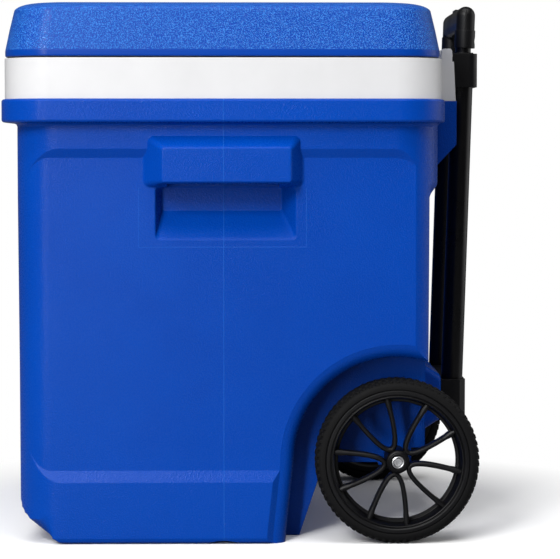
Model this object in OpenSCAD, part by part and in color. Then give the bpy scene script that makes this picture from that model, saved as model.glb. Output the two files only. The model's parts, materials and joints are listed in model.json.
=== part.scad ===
// Wheeled cooler: an insulated tub with a hinged lid, a telescoping pull handle and two wheels.
// X runs across the width, Y from the front (-) to the pull handle (+), Z up from the floor.
// The origin is on the floor, in the middle of the whole cooler.

/* [Body] */
// Width over the upper band and the lower panels
body_w = 500; // [490:1:504]
// Front face, from the middle
body_front = 232; // [228:1:236]
// Upper rear face, from the middle
body_back = 197; // [195:1:199]
// Radius of the upright corners
body_r = 45; // [36:1:50]
// Thickness of the moulded walls
wall = 3.5; // [3:0.1:4]
// Height of the shell's top edge
rim_z = 450; // [448:1:452]
// Depth of the recessed side fields
field_depth = 5; // [3:0.5:6]

/* [Rim and collar] */
// Width over the shell's rim flange
rim_w = 530; // [526:1:532]
// Front and back of the rim flange, from the middle
rim_front = 247; // [245:0.5:249]
rim_back = 203.5; // [202:0.5:205]
// Height of the rim flange
flange_h = 23.5; // [18:0.5:26]
// Corner radius of the rim flange
rim_r = 50; // [44:1:54]
// Step from the rim in to the white collar
collar_step = 3.5; // [3:0.1:4]
// Height of the white collar's top
collar_z = 491; // [490:0.5:491]
// Thickness of the liner's collar
collar_wall = 4; // [3:0.2:5]

/* [Cavity] */
// Inside width
cavity_w = 426; // [400:2:430]
// Front and back of the inside, from the middle
cavity_front = 196; // [190:1:200]
cavity_back = 152; // [140:1:154]
// Height of the floor, and of the step over the axle
floor_z = 35; // [30:1:38]
shelf_z = 215; // [214:1:225]
// Where the step over the axle starts
shelf_y = 25; // [10:1:26]
// Radius of the cavity's upright corners
cavity_r = 32; // [20:1:40]
// Thickness of the liner's walls
liner_wall = 3; // [2.5:0.1:3.5]

/* [Lid] */
// Width over the lid
lid_w = 522; // [518:1:523]
// Front and back of the lid, from the middle
lid_front = 243; // [241:0.5:245]
lid_back = 198; // [196:0.5:198]
// Underside and top of the lid
lid_z0 = 492.5; // [492:0.1:493]
lid_z1 = 549; // [545:0.5:552]
// Thickness of the lid's shell
lid_wall = 3; // [2.5:0.1:3.5]
// Depth of the plug below the lid's edge
plug_h = 14.5; // [8:0.5:18]
// Half width, start and floor of the bay that clears the folded grip
bay_x = 104; // [100:1:106]
bay_y = 140; // [136:1:142]
bay_z = 505; // [504:0.5:506]

/* [Hinge] */
// Centre of the hinge pins
pin_y = 212; // [211.5:0.1:212.5]
pin_z = 498; // [497.8:0.1:498.2]
// Diameter of the hinge pins
pin_d = 6; // [4:0.5:7]
// Middle of each hinge, from the middle of the cooler
hinge_x = 131; // [129:1:133]

/* [Wheels] */
// Outer radius of the tyres
tyre_r = 83.5; // [82:0.1:84]
// Inner radius of the tyres
tyre_in = 73; // [70:0.5:75]
// Distance of the axle behind the middle
axle_y = 154.4; // [153:0.1:156]
// Inner and outer face of a wheel
wheel_x0 = 206.5; // [206:0.5:210]
wheel_x1 = 252; // [248:0.5:253]
// Diameter of the axle
axle_d = 8; // [6:0.5:9]
// Radius of the wheel wells
well_r = 105; // [100:1:108]
// Inner wall of the wheel wells
well_x = 192; // [188:1:194]
// Number of looped spokes in a wheel
petals = 5; // [4:1:6]

/* [Pull handle] */
// Distance of each tube from the middle
tube_x = 82.5; // [80:0.5:84]
// Backward lean of the tubes
lean = 1.77; // [1.5:0.01:1.8]
// Radius of the outer and the inner tubes
outer_r = 11.5; // [11:0.1:11.6]
inner_r = 8.25; // [8:0.05:8.4]
// Travel of the handle
travel = 286; // [200:1:288]
// Travel of the release button
press = 4; // [3:0.5:4]

/* [Drain] */
// Place of the drain along the side and above the floor
drain_y = -60; // [-100:5:-50]
drain_z = 48; // [47:0.5:49]
// Diameter of the drain's cap
cap_d = 34; // [32:1:38]

/* [Hidden] */
$fn = 64;

// Clearances: foam to wall, loose parts, and turning or sliding fits
gap = 0.2;
loose = 0.3;
fit = 0.06;

blue = [0.02, 0.24, 0.62];
white = [0.9, 0.9, 0.89];
black = [0.05, 0.05, 0.055];
steel = [0.7, 0.71, 0.72];
foam_colour = [0.93, 0.87, 0.68];

// The body from the side, in Y and Z, anticlockwise from the front lower edge
body_bottom = [[-187, 0], [56, 0], [74, 53], [80, 76], [140, 76], [140, 98],
               [170, 98], [170, 91], [186, 91]];
body_rear = [[187, 352], [body_back, 364]];
body_nose = [[-body_front + 2, 40], [-body_front + 8, 28]];
function body_side(top) = concat(body_bottom, body_rear, [[body_back, top], [-body_front, top]], body_nose);

// The recessed field on each side, in Y and Z
field_side = [[-262, 118], [-226, 96], [-208, 76], [-190, 69], [262, 69], [262, 360],
              [190, 360], [160, 394], [-186, 394], [-212, 378], [-226, 360], [-262, 356]];
field_x = body_w/2 - field_depth;

// The block at the rear that carries the pull handle
block_x = 150;
block_back = 221.5;
block_low = [[175, 355], [202, 383.6], [block_back, 404.4]];
function block_side(top) = concat(block_low, [[block_back, top], [175, top]]);
white_block = [[175, rim_z], [220.6, rim_z], [218.6, collar_z], [175, collar_z]];
block_bay_x = 98;
collar_y0 = 218;

// The bump at the foot of the pull handle
bump_x = 110;
bump_side = [[165, 92], [186, 97], [210, 110], [210, 158], [186, 173], [165, 176]];

// The moulded side handles: the root and the face of each box, in Y and Z
grab_root = [-102, 58, 362, 416];
grab_face = [-84, 47, 368, 402];
grab_r = 7;
grab_x = 268;
grab_pocket = [-78, 34, 226, 262, 392];
scoop_y = [-88, 50];
scoop_x = 222;
scoop_z = [309, 335, 361.5];

// The arch in the lower edges, as a shallow round channel
arch_y = -22;
arch_w = 34;
arch_h = 3.5;
arch_r = (pow(arch_w/2, 2) + arch_h*arch_h)/(2*arch_h);

well_foot = 41;
// How the wells widen towards their mouths: places across, and how far the arch stands out there
well_flare = [[227, -0.7], [239, 3.6], [244.6, 12.6], [252, 20.6]];
well_lean = 5.55;
boss_x = 168;
axle_z = tyre_r;
collar_w = rim_w - 2*collar_step;
cavity_side = [[-cavity_front, floor_z], [shelf_y, floor_z], [shelf_y, shelf_z], [cavity_back, shelf_z],
               [cavity_back, collar_z + 5], [-cavity_front, collar_z + 5]];

// The lid's form: at each height, how far its sides stand in from its edge
lid_steps = [[0, 0], [6, 0], [27.5, 4.4], [45.5, 8.6], [52.5, 19], [55.6, 38], [56.5, 66]];
lid_r = 47;
panel = [-184, 112, 196];
panel_h = 1.6;
cup_r = 41;
cup_h = 3.6;
cup_x = 140;
cup_y = [-130, 58];
plug_gap = 4;
leaf = [160, 3.6];
leaf_w = 20;
knuckle_w = 21.2;
knuckle_r = 6;
// Front, back and top of the hinge ears, and the radius of their corners
ear = [205.5, 216.8, 504.5, 3];
leaf_screws = [168, 182];

// The pull handle stands on a leaning line through this point, and heights on it are given from there
lean_y = 223.6;
lean_z = 153;
outer_low = -36;
outer_top = 333;
bush_low = 304;
bush_top = 349;
collar_low = 466;
collar_top = 501.7;
collar_back = 249;
collar_x = 96;
bracket_x = 100;
bracket_y = [210, 237];
bracket_z = [110, 152.6];
leg_low = 355.2;
leg_r = 10.8;
leg_step = 374;
bar_r = 10;
bar_low = 382;
bar_high = 389.6;
bar_y = 1.5;
grip_wall = 2.2;
inner_top = 370;
bolt_w = -4;
yoke_w = [380.4, 383];
rod_r = 2;
button_half = [17, 5.5];
button_top = bar_high + bar_r + 0.5;
seat_w = [350, 353];
spring_w = [353, 380.4];
grip_bolts = [50, 391.5];

screw_r = 2;
head_r = 4;
spout_r = 9;
spout_bore = 6.5;
spout_end = 261;

function unit(v) = v/norm(v);

// Moves every edge of an anticlockwise outline inwards by t
function inset(p, t) = [for (i = [0:len(p) - 1])
    let (n = len(p), u = unit(p[i] - p[(i + n - 1)%n]), v = unit(p[(i + 1)%n] - p[i]),
         a = [-u.y, u.x], b = [-v.y, v.x])
    p[i] + t*(a + b)/(1 + a*b)];

module both() {
    children();
    mirror([1, 0, 0]) children();
}

// Carries an outline in Y and Z across the width
module across(w) {
    rotate([90, 0, 90]) linear_extrude(w, center = true) children();
}

// Carries an outline in Y and Z from x0 to x1
module between(x0, x1) {
    translate([x0, 0, 0]) rotate([90, 0, 90]) linear_extrude(x1 - x0) children();
}

// Carries an outline in X and Z from y0 to y1
module along_y(y0, y1) {
    translate([0, y1, 0]) rotate([90, 0, 0]) linear_extrude(y1 - y0) children();
}

module box(x, y, z) {
    translate([x[0], y[0], z[0]]) cube([x[1] - x[0], y[1] - y[0], z[1] - z[0]]);
}

module round_rect(x0, x1, y0, y1, r) {
    for (x = [x0 + r, x1 - r], y = [y0 + r, y1 - r]) translate([x, y]) circle(r);
    translate([x0, y0 + r]) square([x1 - x0, y1 - y0 - 2*r]);
    translate([x0 + r, y0]) square([x1 - x0 - 2*r, y1 - y0]);
}

module slab(w, y0, y1, r, z0, z1) {
    translate([0, 0, z0]) linear_extrude(z1 - z0) round_rect(-w/2, w/2, y0, y1, r);
}

// A round bar along X
module x_rod(x0, x1, y, z, r) {
    translate([x0, y, z]) rotate([0, 90, 0]) cylinder(h = x1 - x0, r = r);
}

// A round bar along Y
module y_rod(x, y0, y1, z, r) {
    translate([x, y1, z]) rotate([90, 0, 0]) cylinder(h = y1 - y0, r = r);
}

module lean_frame() {
    translate([0, lean_y, lean_z]) rotate([-lean, 0, 0]) children();
}

// ---- Outer shell ----

module grab_plan(edges, t) {
    round_rect(edges[0] + t, edges[1] - t, edges[2] + t, edges[3] - t, grab_r, $fn = 32);
}

module grab_box(t) {
    hull() {
        between(field_x - 8, field_x - 7) grab_plan(grab_root, t);
        between(field_x, field_x + 1) grab_plan(grab_root, t);
        between(grab_x - 1 - t, grab_x - t) grab_plan(grab_face, t);
    }
}

// The hand hold below a side handle, and the pocket up behind its face
module grab_scoop(t) {
    slope = (scoop_z[1] - scoop_z[0])/(field_x - scoop_x);
    deep = scoop_x - t;
    function foot(x) = scoop_z[0] - slope*(x - field_x) - t*sqrt(1 + slope*slope);
    along_y(scoop_y[0] - t, scoop_y[1] + t)
        polygon([[deep, foot(deep)], [275, foot(275)], [275, scoop_z[2] + t], [deep, scoop_z[2] + t]]);
    box([grab_pocket[2] - t, grab_pocket[3] + t], [grab_pocket[0] - t, grab_pocket[1] + t],
        [350, grab_pocket[4] + t]);
}

module wheel_well(t) {
    between(well_x - t, 280) {
        translate([axle_y, axle_z]) circle(well_r + t, $fn = 128);
        polygon([[well_foot - t, -3], [290, -3], [290, axle_z], [axle_y - well_r - t, axle_z]]);
    }
    for (i = [0:len(well_flare) - 2]) let (a = well_flare[i], b = well_flare[i + 1])
        translate([a[0] - t, axle_y, axle_z]) rotate([0, 90, 0])
            cylinder(h = b[0] - a[0], r1 = well_r + a[1] + t, r2 = well_r + b[1] + t, $fn = 128);
    translate([-t, axle_y - well_r - t + 0.6, axle_z]) rotate([-well_lean, 0, 0]) translate([0, 0, -100])
        linear_extrude(100)
            polygon(concat([for (f = well_flare) [f[0], -f[1]]], [[280, -20.6], [280, 90], [227, 90]]));
}

// The body's outside at t = 0, and the same form moved inwards by t
module body_form(t) {
    top = rim_z + (t > 0 ? t + 1 : 0);
    difference() {
        union() {
            difference() {
                intersection() {
                    across(body_w - 2*t) polygon(inset(body_side(top), t));
                    slab(body_w - 2*t, t - body_front, body_back - t, body_r - t, -1, rim_z + 3);
                }
                both() between(field_x - t, 280) polygon(inset(field_side, -t));
            }
            slab(rim_w - 2*t, t - rim_front, rim_back - t, rim_r - t, rim_z - flange_h + t, top - t);
            difference() {
                across(2*(block_x - t)) polygon(inset(block_side(top), t));
                box([-block_bay_x - t, block_bay_x + t], [collar_y0 - 2 - t, 240], [350, rim_z + 3]);
            }
            across(2*(bump_x - t)) polygon(inset(bump_side, t));
            both() grab_box(t);
        }
        both() {
            grab_scoop(t);
            wheel_well(t);
        }
        x_rod(-300, 300, arch_y, arch_h - arch_r, arch_r + t, $fn = 128);
    }
}

module drain_hole(r) {
    x_rod(-body_w/2 - 5, -cavity_w/2 + 5, drain_y, drain_z, r);
}

module outer_shell() {
    color(blue) difference() {
        union() {
            difference() {
                body_form(0);
                body_form(wall);
            }
            both() box([boss_x, well_x], [138, 172], [73, 100]);
            for (x = [-40, 40]) y_rod(x, 184, 209, 131, 5);
        }
        x_rod(-well_x - 1, well_x + 1, axle_y, axle_z, axle_d/2 + fit);
        drain_hole(spout_r + gap);
        for (x = [-40, 40]) y_rod(x, 188, 211, 131, screw_r + 0.05);
    }
}

// ---- Liner, foam and hinge ears ----

module cavity(t) {
    intersection() {
        across(cavity_w + 2*t) polygon(inset(cavity_side, -t));
        slab(cavity_w + 2*t, -cavity_front - t, cavity_back + t, cavity_r + t, 0, 600);
    }
}

module collar_form(t) {
    z0 = rim_z - (t > 0 ? 10 : 0);
    slab(collar_w - 2*t, t - rim_front + collar_step, rim_back - collar_step - t, rim_r - collar_step - t,
         z0, collar_z - t);
    difference() {
        across(2*(block_x - t)) polygon(inset(white_block, t));
        box([-block_bay_x - t, block_bay_x + t], [collar_y0 - t, 240], [rim_z - 1, collar_z + 1]);
    }
}

// The lip that drops inside the shell's rim
module collar_lip() {
    e = 0.4;
    difference() {
        slab(collar_w - 2*e, e - rim_front + collar_step, rim_back - collar_step - e, rim_r - collar_step - e,
             rim_z - 6, rim_z + 1);
        slab(collar_w - 2*collar_wall, collar_wall - rim_front + collar_step,
             rim_back - collar_step - collar_wall, rim_r - collar_step - collar_wall, rim_z - 7, rim_z + 2);
        box([-block_x, block_x], [150, 240], [rim_z - 8, rim_z]);
    }
}

// An ear beside each hinge knuckle, square with its two upper corners rounded
module hinge_ear(x0, x1) {
    between(x0, x1) {
        polygon([[ear[0], collar_z - 1], [ear[1], collar_z - 1], [ear[1], ear[2] - ear[3]],
                 [ear[1] - ear[3], ear[2]], [ear[0] + ear[3], ear[2]], [ear[0], ear[2] - ear[3]]]);
        for (y = [ear[0] + ear[3], ear[1] - ear[3]]) translate([y, ear[2] - ear[3]]) circle(ear[3]);
    }
}

module inner_liner() {
    color(white) difference() {
        union() {
            difference() {
                collar_form(0);
                collar_form(collar_wall);
            }
            collar_lip();
            intersection() {
                cavity(liner_wall);
                box([-300, 300], [-300, 300], [0, collar_z]);
            }
            both() {
                hinge_ear(hinge_x - 19, hinge_x - 11);
                hinge_ear(hinge_x + 11, hinge_x + 19);
            }
            for (x = [-45, 45]) y_rod(x, 190, collar_y0, 480, 5);
        }
        cavity(0);
        drain_hole(spout_r + gap);
        both() x_rod(hinge_x - 20, hinge_x + 17.1, pin_y, pin_z, pin_d/2 + 0.02);
        for (x = [-45, 45]) y_rod(x, 192, collar_y0 + 1, 480, screw_r + 0.05);
    }
}

module body_foam() {
    t = wall + gap;
    c = collar_wall + gap;
    color(foam_colour) difference() {
        union() {
            intersection() {
                body_form(t);
                box([-300, 300], [-300, 300], [0, rim_z - 6 - gap]);
            }
            difference() {
                collar_form(c);
                box([-300, 300], [-300, 300], [rim_z - 20, rim_z - 6 - 2*gap]);
            }
        }
        cavity(liner_wall + gap);
        drain_hole(spout_r + 4);
        for (x = [-40, 40]) y_rod(x, 180, 220, 131, 5 + gap);
        for (x = [-45, 45]) y_rod(x, 188, 224, 480, 5 + gap);
    }
}

module hinge_pins() {
    color(steel) both() x_rod(hinge_x - 20, hinge_x + 17, pin_y, pin_z, pin_d/2);
}

// ---- Lid ----

module lid_hull(t) {
    hull() for (s = lid_steps) {
        e = s[1] + t;
        slab(lid_w - 2*e, e - lid_front, lid_back - e, max(lid_r - e*0.45, 12),
             lid_z0 + s[0] - (s[0] > 0 ? t : 0) - 0.1, lid_z0 + s[0] - (s[0] > 0 ? t : 0), $fn = 32);
    }
}

module lid_form(t) {
    difference() {
        lid_hull(t);
        box([-bay_x - t, bay_x + t], [bay_y - t, 260], [bay_z - t, 560]);
        slab(2*(panel[2] + t), panel[0] - t, panel[1] + t, 26 + t, lid_z1 - panel_h - t, 560);
        for (x = [-cup_x, cup_x], y = cup_y)
            translate([x, y, lid_z1 - cup_h - panel_h - t]) cylinder(h = 30, r = cup_r + t);
    }
}

module lid_screws(r, z0, z1) {
    both() for (y = leaf_screws) translate([hinge_x, y, z0]) cylinder(h = z1 - z0, r = r);
}

module leaf_pockets(e) {
    both() box([hinge_x - leaf_w/2 - e, hinge_x + leaf_w/2 + e], [leaf[0] - e, 220],
               [480, lid_z0 + 0.3 + leaf[1] + e]);
}

module lid_top() {
    color(blue) difference() {
        union() {
            difference() {
                lid_form(0);
                lid_form(lid_wall);
                box([-300, 300], [-300, 300], [lid_z0 - 5, lid_z0]);
            }
            intersection() {
                lid_screws(5, lid_z0 + 5, lid_z0 + 60);
                lid_hull(lid_wall/2);
            }
        }
        lid_screws(screw_r + 0.05, lid_z0, lid_z0 + 22);
        leaf_pockets(0.4);
    }
}

module plug(t, z0) {
    slab(cavity_w - 2*plug_gap - 2*t, plug_gap + t - cavity_front, cavity_back - plug_gap - t,
         cavity_r - plug_gap - t, z0, lid_z0 + 3);
}

module lid_liner() {
    e = lid_wall + 1.5*gap;
    color(white) difference() {
        union() {
            slab(lid_w - 2*e, e - lid_front, lid_back - e, lid_r - e*0.45, lid_z0, lid_z0 + 3);
            plug(0, lid_z0 - plug_h);
        }
        plug(3, lid_z0 - plug_h + 3);
        box([-195, 195], [-180, 130], [lid_z0 + 2, lid_z0 + 9]);
        leaf_pockets(0.3);
    }
}

module lid_foam() {
    color(foam_colour) difference() {
        union() {
            difference() {
                lid_form(lid_wall + gap);
                box([-300, 300], [-300, 300], [lid_z0 - 5, lid_z0 + 3 + gap]);
            }
            slab(cavity_w - 2*plug_gap - 7, plug_gap + 3.5 - cavity_front, cavity_back - plug_gap - 3.5,
                 cavity_r - plug_gap - 3.5, lid_z0 - plug_h + 3 + gap, lid_z0 + 6);
        }
        leaf_pockets(0.6);
        lid_screws(5 + gap, lid_z0, lid_z0 + 60);
    }
}

// Leaf, arm and knuckle of one hinge
module lid_hinge(s) {
    z = lid_z0 + 0.3;
    color(white) difference() {
        union() {
            box([s*hinge_x - leaf_w/2, s*hinge_x + leaf_w/2], [leaf[0], pin_y], [z, z + leaf[1]]);
            x_rod(s*hinge_x - knuckle_w/2, s*hinge_x + knuckle_w/2, pin_y, pin_z, knuckle_r);
        }
        x_rod(s*hinge_x - 20, s*hinge_x + 20, pin_y, pin_z, pin_d/2 + fit);
        for (y = leaf_screws) {
            translate([s*hinge_x, y, z - 1]) cylinder(h = 9, r = screw_r + 0.2);
            translate([s*hinge_x, y, z - 1]) cylinder(h = 3.2, r = head_r + 0.2);
        }
    }
}

module left_lid_hinge() { lid_hinge(-1); }
module right_lid_hinge() { lid_hinge(1); }

module lid_hinge_screws() {
    color(steel) {
        lid_screws(screw_r, lid_z0 + 2, lid_z0 + 20);
        lid_screws(head_r, lid_z0 + 0.4, lid_z0 + 2.4);
    }
}

// ---- Axle and wheels ----

module axle() {
    end = wheel_x1 + 3;
    color(steel) difference() {
        x_rod(-end, end, axle_y, axle_z, axle_d/2);
        for (s = [-1, 1]) x_rod(s*end - 2, s*end + 2, axle_y, axle_z, 2.4);
    }
}

module axle_ring(x0, x1, r) {
    difference() {
        x_rod(x0, x1, axle_y, axle_z, r);
        x_rod(x0 - 1, x1 + 1, axle_y, axle_z, axle_d/2 + 0.02);
    }
}

module axle_spacers() {
    color(black) both() axle_ring(well_x + gap, wheel_x0 - loose, 8);
}

module left_axle_nut() {
    color(steel) mirror([1, 0, 0]) axle_ring(wheel_x1 + 0.4, wheel_x1 + 1.8, 8);
}

module right_axle_nut() {
    color(steel) axle_ring(wheel_x1 + 0.4, wheel_x1 + 1.8, 8);
}

// One looped spoke: a parabola whose tip lies at the hub, drawn as a band
module petal() {
    tip = 13.4;
    spread = 7.7;
    half = 2.5;
    steps = 12;
    reach = 21.2;
    function spine(s) = [tip + s*s/spread, s];
    function side(s) = let (d = unit([2*s/spread, 1])) half*[-d.y, d.x];
    along = [for (i = [-steps:steps]) let (f = i/steps) reach*f*(0.4 + 0.6*abs(f))];
    polygon(concat([for (s = along) spine(s) + side(s)],
                   [for (i = [len(along) - 1:-1:0]) spine(along[i]) - side(along[i])]));
}

module wheel() {
    rim_in = 66;
    deep = wheel_x1 - 17;
    difference() {
        union() {
            difference() {
                x_rod(wheel_x0, wheel_x1, axle_y, axle_z, tyre_in, $fn = 128);
                x_rod(wheel_x0 - 1, wheel_x1 + 1, axle_y, axle_z, rim_in, $fn = 128);
            }
            difference() {
                x_rod(deep - 6, deep, axle_y, axle_z, rim_in + 1, $fn = 128);
                x_rod(deep - 7, deep + 1, axle_y, axle_z, 60, $fn = 128);
            }
            x_rod(wheel_x0, wheel_x1 - 1, axle_y, axle_z, 12);
            between(deep - 3, wheel_x1 - 4) translate([axle_y, axle_z])
                for (k = [0:petals - 1]) rotate(-99 + 360*k/petals) petal();
        }
        x_rod(wheel_x0 - 1, wheel_x1 + 1, axle_y, axle_z, axle_d/2 + fit);
        difference() {
            x_rod(wheel_x0 - 2, wheel_x1 + 2, axle_y, axle_z, 120, $fn = 128);
            x_rod(wheel_x0 - 3, wheel_x1 + 3, axle_y, axle_z, tyre_in, $fn = 128);
        }
    }
}

module tyre() {
    w = wheel_x1 - wheel_x0;
    h = tyre_r - tyre_in;
    translate([wheel_x0, axle_y, axle_z]) rotate([0, 90, 0]) rotate_extrude($fn = 128)
        polygon([[tyre_in, 0.5], [tyre_in + h - 5, 0.5], [tyre_r - 1.2, 3], [tyre_r, 7],
                 [tyre_r, w - 7], [tyre_r - 1.2, w - 3], [tyre_in + h - 5, w - 0.5], [tyre_in, w - 0.5]]);
}

module left_wheel() { color(black) mirror([1, 0, 0]) wheel(); }
module right_wheel() { color(black) wheel(); }
module left_tyre() { color(black) mirror([1, 0, 0]) tyre(); }
module right_tyre() { color(black) tyre(); }

// ---- Pull handle ----

module outer_bores(r, w0, w1) {
    lean_frame() for (x = [-tube_x, tube_x]) translate([x, 0, w0]) cylinder(h = w1 - w0, r = r);
}

module screw_pair(x, y0, y1, z) {
    for (s = [-x, x]) {
        y_rod(s, y0, y1 - 1, z, screw_r);
        y_rod(s, y1 - 3, y1, z, head_r);
    }
}

module screw_holes(x, y, z) {
    for (s = [-x, x]) {
        y_rod(s, y - 60, y + 1, z, screw_r + 0.1);
        y_rod(s, y - 4, y + 1, z, head_r + 0.1);
    }
}

module handle_collar() {
    color(black) difference() {
        union() {
            slab(2*collar_x, collar_y0 + 8, collar_back, 9, collar_low, collar_top);
            box([-collar_x, collar_x], [collar_y0, collar_y0 + 20], [collar_low, collar_top]);
        }
        outer_bores(outer_r + 0.1, 200, outer_top + 0.1);
        outer_bores(10, outer_top - 1, 380);
        outer_bores(11.2, bush_top - 0.1, 380);
        screw_holes(45, collar_back, 480);
    }
}

module collar_screws() {
    color(steel) screw_pair(45, 196, collar_back - 0.6, 480);
}

module bottom_bracket() {
    color(black) difference() {
        box([-bracket_x, bracket_x], bracket_y, bracket_z);
        outer_bores(outer_r + 0.1, outer_low - 0.1, 60);
        screw_holes(40, bracket_y[1], 131);
        both() translate([bracket_x, bracket_y[1], 0]) rotate([0, 0, 45]) cube([9, 9, 400], center = true);
    }
}

module bracket_screws() {
    color(steel) screw_pair(40, 192, bracket_y[1] - 0.6, 131);
}

module outer_tube(s) {
    lean_frame() translate([s*tube_x, 0, 0]) difference() {
        translate([0, 0, outer_low]) cylinder(h = outer_top - outer_low, r = outer_r);
        translate([0, 0, outer_low - 1]) cylinder(h = outer_top - outer_low + 2, r = outer_r - 1.5);
        for (w = [bolt_w, bolt_w + travel]) translate([-s*outer_r, 0, w]) rotate([0, 90, 0])
            cylinder(h = 8, r = 3, center = true);
    }
}

module glide_bush(s) {
    lean_frame() translate([s*tube_x, 0, 0]) difference() {
        union() {
            translate([0, 0, bush_low]) cylinder(h = bush_top - bush_low, r = outer_r - 1.55);
            translate([0, 0, bush_top]) cylinder(h = 1.4, r = 11);
        }
        translate([0, 0, bush_low - 1]) cylinder(h = 60, r = inner_r + fit);
    }
}

module inner_tube(s) {
    lean_frame() translate([s*tube_x, 0, 0]) difference() {
        cylinder(h = inner_top, r = inner_r);
        translate([0, 0, -1]) cylinder(h = inner_top + 2, r = inner_r - 1.25);
        y_rod(0, 4, 12, 363, screw_r + 0.1);
    }
}

module tube_glide(s) {
    lean_frame() translate([s*tube_x, 0, 0]) difference() {
        translate([0, 0, -8]) cylinder(h = 22, r = outer_r - 1.5 - fit);
        cylinder(h = 30, r = inner_r + 0.02);
        translate([0, 0, -10]) cylinder(h = 20, r = rod_r + 0.3);
        translate([-s*6, 0, bolt_w]) rotate([0, 90, 0]) cylinder(h = 10, r = 2.6, center = true);
    }
}

module left_outer_tube() { color(black) outer_tube(-1); }
module right_outer_tube() { color(black) outer_tube(1); }
module left_glide_bush() { color(black) glide_bush(-1); }
module right_glide_bush() { color(black) glide_bush(1); }
module left_inner_tube() { color(black) inner_tube(-1); }
module right_inner_tube() { color(black) inner_tube(1); }
module left_tube_glide() { color(black) tube_glide(-1); }
module right_tube_glide() { color(black) tube_glide(1); }

// The grip's outside at t = 0, and its hollow at t = grip_wall
module grip_form(t) {
    translate([0, bar_y, 0]) {
        for (w = [bar_low, bar_high]) x_rod(-tube_x, tube_x, 0, w, bar_r - t);
        box([-tube_x, tube_x], [t - bar_r, bar_r - t], [bar_low, bar_high]);
        for (x = [-tube_x, tube_x]) {
            translate([x, 0, bar_low]) cylinder(h = bar_high - bar_low, r = bar_r - t);
            for (w = [bar_low, bar_high]) translate([x, 0, w]) sphere(bar_r - t);
        }
    }
}

module grip_leg(x) {
    translate([x, bar_y, leg_low]) cylinder(h = leg_step - leg_low, r = leg_r);
    translate([x, bar_y, leg_step - 1]) cylinder(h = bar_low - leg_step + 1, r = bar_r);
}

module grip_body() {
    difference() {
        union() {
            grip_form(0);
            for (x = [-tube_x, tube_x]) grip_leg(x);
        }
        grip_form(grip_wall);
        for (x = [-tube_x, tube_x]) translate([x, 0, leg_low - 1])
            cylinder(h = bar_low - leg_low, r = inner_r + 0.04);
        box([-button_half.x - loose, button_half.x + loose],
            [bar_y - button_half.y - loose, bar_y + button_half.y + loose], [bar_high, bar_high + 20]);
        for (x = [-tube_x, tube_x]) {
            y_rod(x, 4, 20, 363, screw_r + 0.1);
            y_rod(x, bar_y + leg_r - 3, 20, 363, head_r + 0.1);
        }
    }
}

module grip_bosses() {
    for (s = [-1, 1]) y_rod(s*grip_bolts[0], bar_y - bar_r + 1, bar_y + bar_r - 1, grip_bolts[1], 3.6);
}

module grip_half(y0, y1) {
    color(black) lean_frame() intersection() {
        difference() {
            union() {
                grip_body();
                grip_bosses();
            }
            for (s = [-1, 1]) {
                y_rod(s*grip_bolts[0], bar_y - bar_r + 3, 20, grip_bolts[1], screw_r - 0.4);
                y_rod(s*grip_bolts[0], bar_y + bar_r - 3, 20, grip_bolts[1], head_r - 0.6);
            }
        }
        box([-120, 120], [y0, y1], [340, 420]);
    }
}

module grip_front() { grip_half(-30, bar_y - 0.05); }
module grip_back() { grip_half(bar_y + 0.05, 30); }

module grip_screws() {
    color(steel) lean_frame() {
        for (x = [-tube_x, tube_x]) {
            y_rod(x, 5.2, bar_y + leg_r - 2, 363, screw_r);
            y_rod(x, bar_y + leg_r - 2.8, bar_y + leg_r - 0.8, 363, head_r);
        }
        for (s = [-1, 1]) {
            y_rod(s*grip_bolts[0], bar_y - bar_r + 3.5, bar_y + bar_r - 2, grip_bolts[1], screw_r - 0.5);
            y_rod(s*grip_bolts[0], bar_y + bar_r - 2.9, bar_y + bar_r - 1, grip_bolts[1], head_r - 0.8);
        }
    }
}

module release_button() {
    color(black) lean_frame() difference() {
        union() {
            box([-button_half.x, button_half.x], [bar_y - button_half.y, bar_y + button_half.y],
                [yoke_w[1], button_top]);
            box([-button_half.x - 3, button_half.x + 3], [bar_y - 5, bar_y + 5], [yoke_w[1], bar_high + 4]);
        }
        box([-button_half.x + 3, button_half.x - 3], [bar_y - 3, bar_y + 3], [yoke_w[1] - 1, button_top - 3]);
    }
}

module latch_yoke() {
    color(white) lean_frame() difference() {
        box([-tube_x - 5, tube_x + 5], [bar_y - 5, bar_y + 3], yoke_w);
        for (x = [-tube_x, tube_x]) translate([x, 0, 300]) cylinder(h = 100, r = rod_r + 0.02);
    }
}

module latch_rods() {
    color(steel) lean_frame() for (x = [-tube_x, tube_x]) {
        translate([x, 0, -7]) cylinder(h = yoke_w[1] + 7, r = rod_r);
        translate([x, 0, yoke_w[1]]) cylinder(h = 1, r = rod_r + 1.5);
    }
}

// The bolts that lock the handle, drawn pulled in
module latch_bolts() {
    color(steel) lean_frame() for (s = [-1, 1])
        x_rod(s > 0 ? tube_x - 9.6 : -tube_x + 2.6, s > 0 ? tube_x - 2.6 : -tube_x + 9.6, 0, bolt_w, 2.5);
}

// Rings in the tubes that the springs stand on
module spring_seats() {
    color(white) lean_frame() for (x = [-tube_x, tube_x]) translate([x, 0, seat_w[0]]) difference() {
        cylinder(h = seat_w[1] - seat_w[0], r = inner_r - 1.27);
        translate([0, 0, -1]) cylinder(h = 10, r = rod_r + 0.3);
    }
}

// The springs under the yoke, drawn as one ring for each turn
module button_springs() {
    wire = 0.65;
    turns = 9;
    pitch = (spring_w[1] - spring_w[0] - 2*wire - 0.1)/(turns - 1);
    color(steel) lean_frame() for (x = [-tube_x, tube_x], i = [0:turns - 1])
        translate([x, 0, spring_w[0] + wire + pitch*i])
            rotate_extrude() translate([3.4, 0]) circle(wire, $fn = 24);
}

// ---- Drain ----

module drain_at(x0, x1, r) {
    x_rod(x0, x1, drain_y, drain_z, r);
}

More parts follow.
